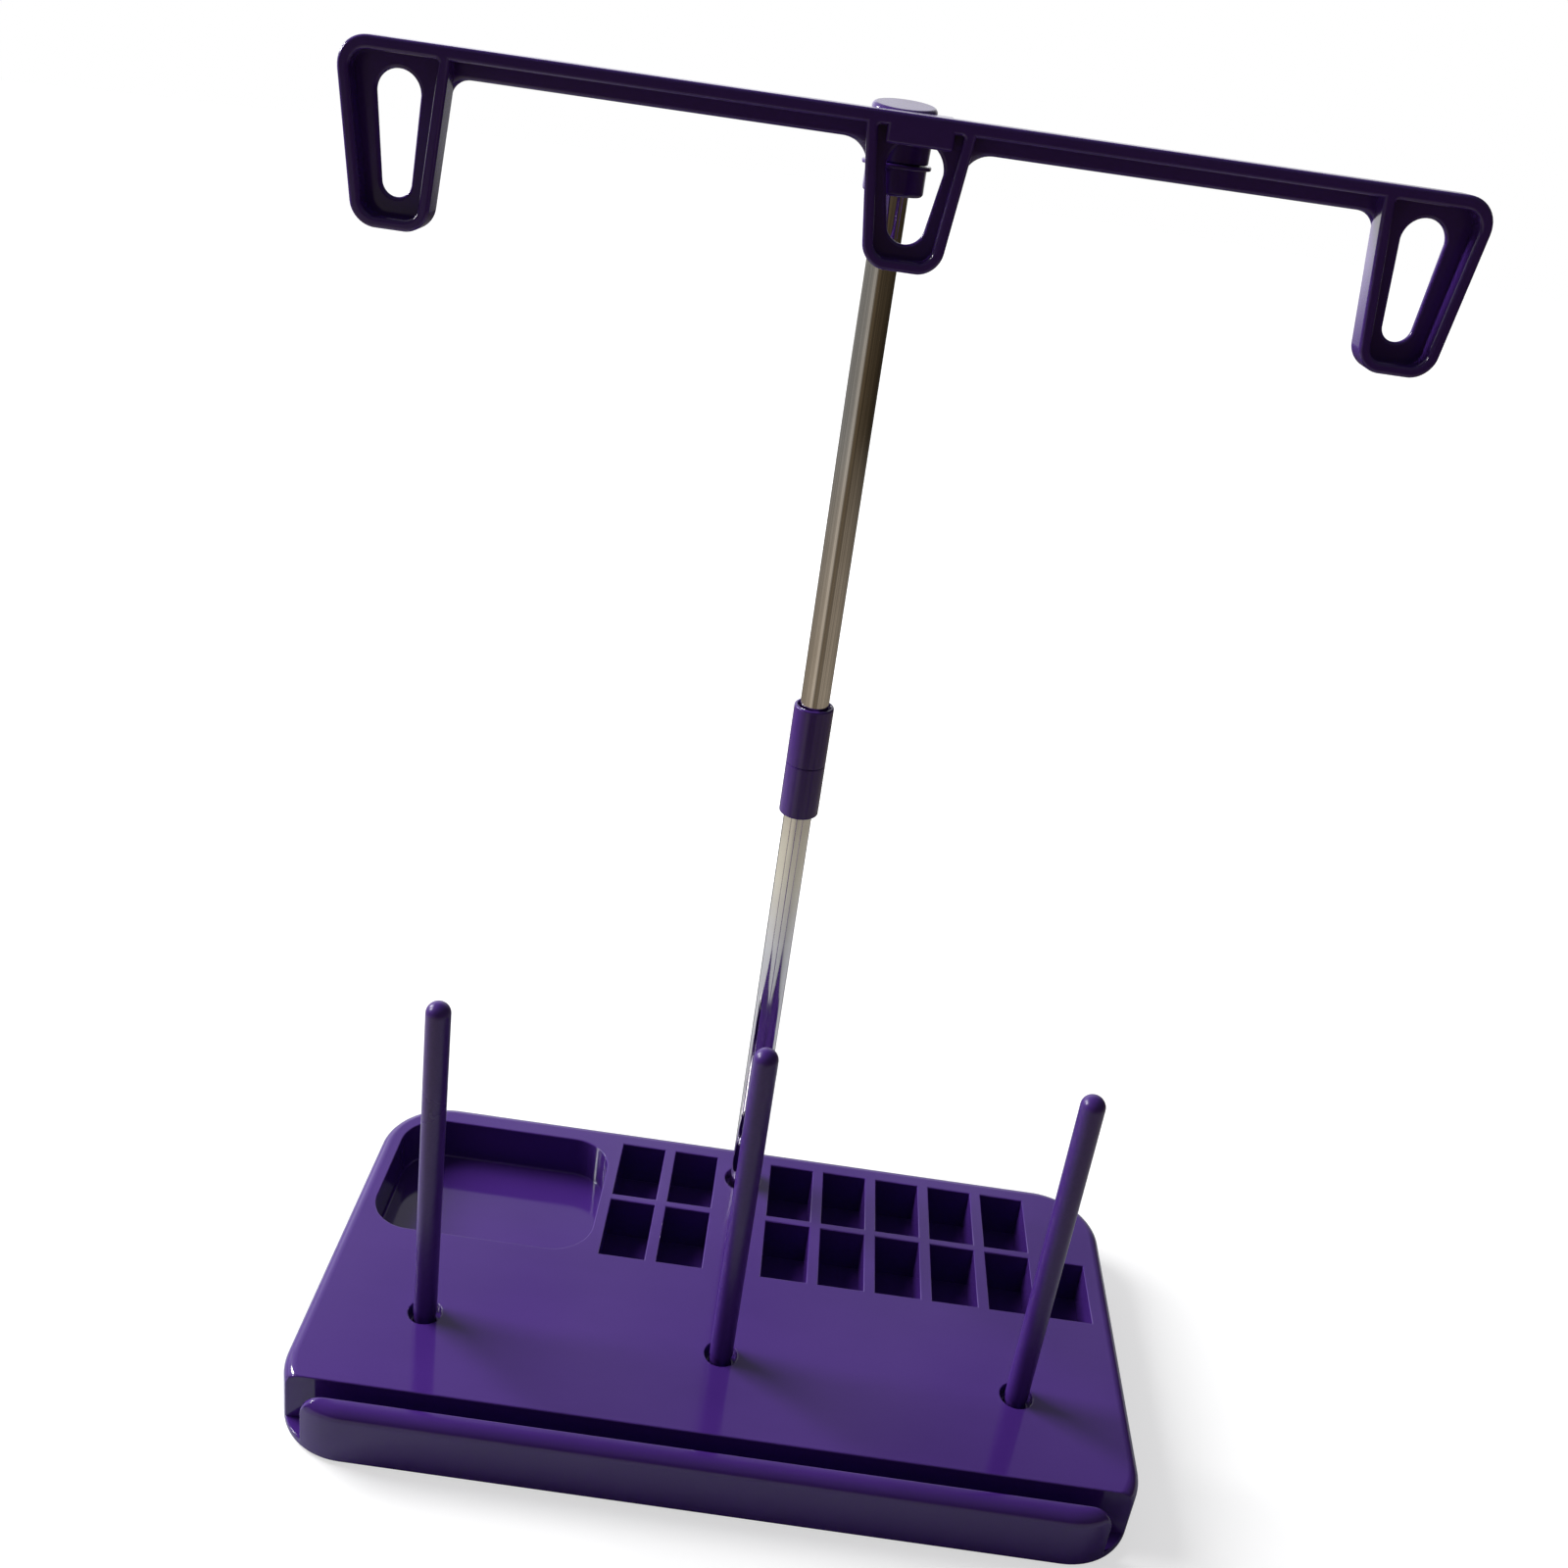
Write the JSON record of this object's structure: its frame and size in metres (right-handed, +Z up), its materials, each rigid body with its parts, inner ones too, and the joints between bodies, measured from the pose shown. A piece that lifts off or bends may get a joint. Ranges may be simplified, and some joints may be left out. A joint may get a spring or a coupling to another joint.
{
  "type": "thread rack",
  "caption": "Free-standing thread rack with upright spool pins, a tube mast with a swivelling guide bar, bobbin pockets, a notions tray and a front slot.",
  "frame": {"origin": "on the table, 1 mm under the middle of the underside of the base", "axes": "+X to the right, +Y to the back (the mast's side), +Z up along the mast and the spool pins"},
  "size_m": [0.2626, 0.128, 0.3355],
  "materials": {
    "moulded_plastic": "glossy",
    "cover_plastic": "matte",
    "tube_chrome": "polished",
    "screw_steel": "satin",
    "foot_rubber": "matte"
  },
  "bodies": {
    "base": {"base_shell": "moulded_plastic", "bottom_cover": "cover_plastic", "cover_screws": "screw_steel", "foot_front_left": "foot_rubber", "foot_front_right": "foot_rubber", "foot_back_left": "foot_rubber", "foot_back_right": "foot_rubber"},
    "left_pin": {"spool_pin_left": "moulded_plastic"},
    "middle_pin": {"spool_pin_middle": "moulded_plastic"},
    "right_pin": {"spool_pin_right": "moulded_plastic"},
    "lower_mast": {"mast_lower_tube": "tube_chrome", "collar_lower": "moulded_plastic", "joining_pin": "screw_steel"},
    "upper_mast": {"mast_upper_tube": "tube_chrome", "collar_upper": "moulded_plastic", "mast_top_sleeve": "moulded_plastic"},
    "guide": {"guide_bar": "moulded_plastic"}
  },
  "joints": [
    {"name": "left_pin_lift", "type": "slide", "parent": "base", "child": "left_pin", "axis": [0, 0, 1], "range_m": [0, 0.016]},
    {"name": "middle_pin_lift", "type": "slide", "parent": "base", "child": "middle_pin", "axis": [0, 0, 1], "range_m": [0, 0.016]},
    {"name": "right_pin_lift", "type": "slide", "parent": "base", "child": "right_pin", "axis": [0, 0, 1], "range_m": [0, 0.016]},
    {"name": "mast_lift", "type": "slide", "parent": "base", "child": "lower_mast", "axis": [0, 0, 1], "range_m": [0, 0.016]},
    {"name": "upper_mast_lift", "type": "slide", "parent": "lower_mast", "child": "upper_mast", "axis": [0, 0, 1], "range_m": [0, 0.024]},
    {"name": "guide_swivel", "type": "hinge", "parent": "upper_mast", "child": "guide", "pos_m": [0, 0.0483, 0.3219], "axis": [0, 0, 1], "continuous": true}
  ]
}
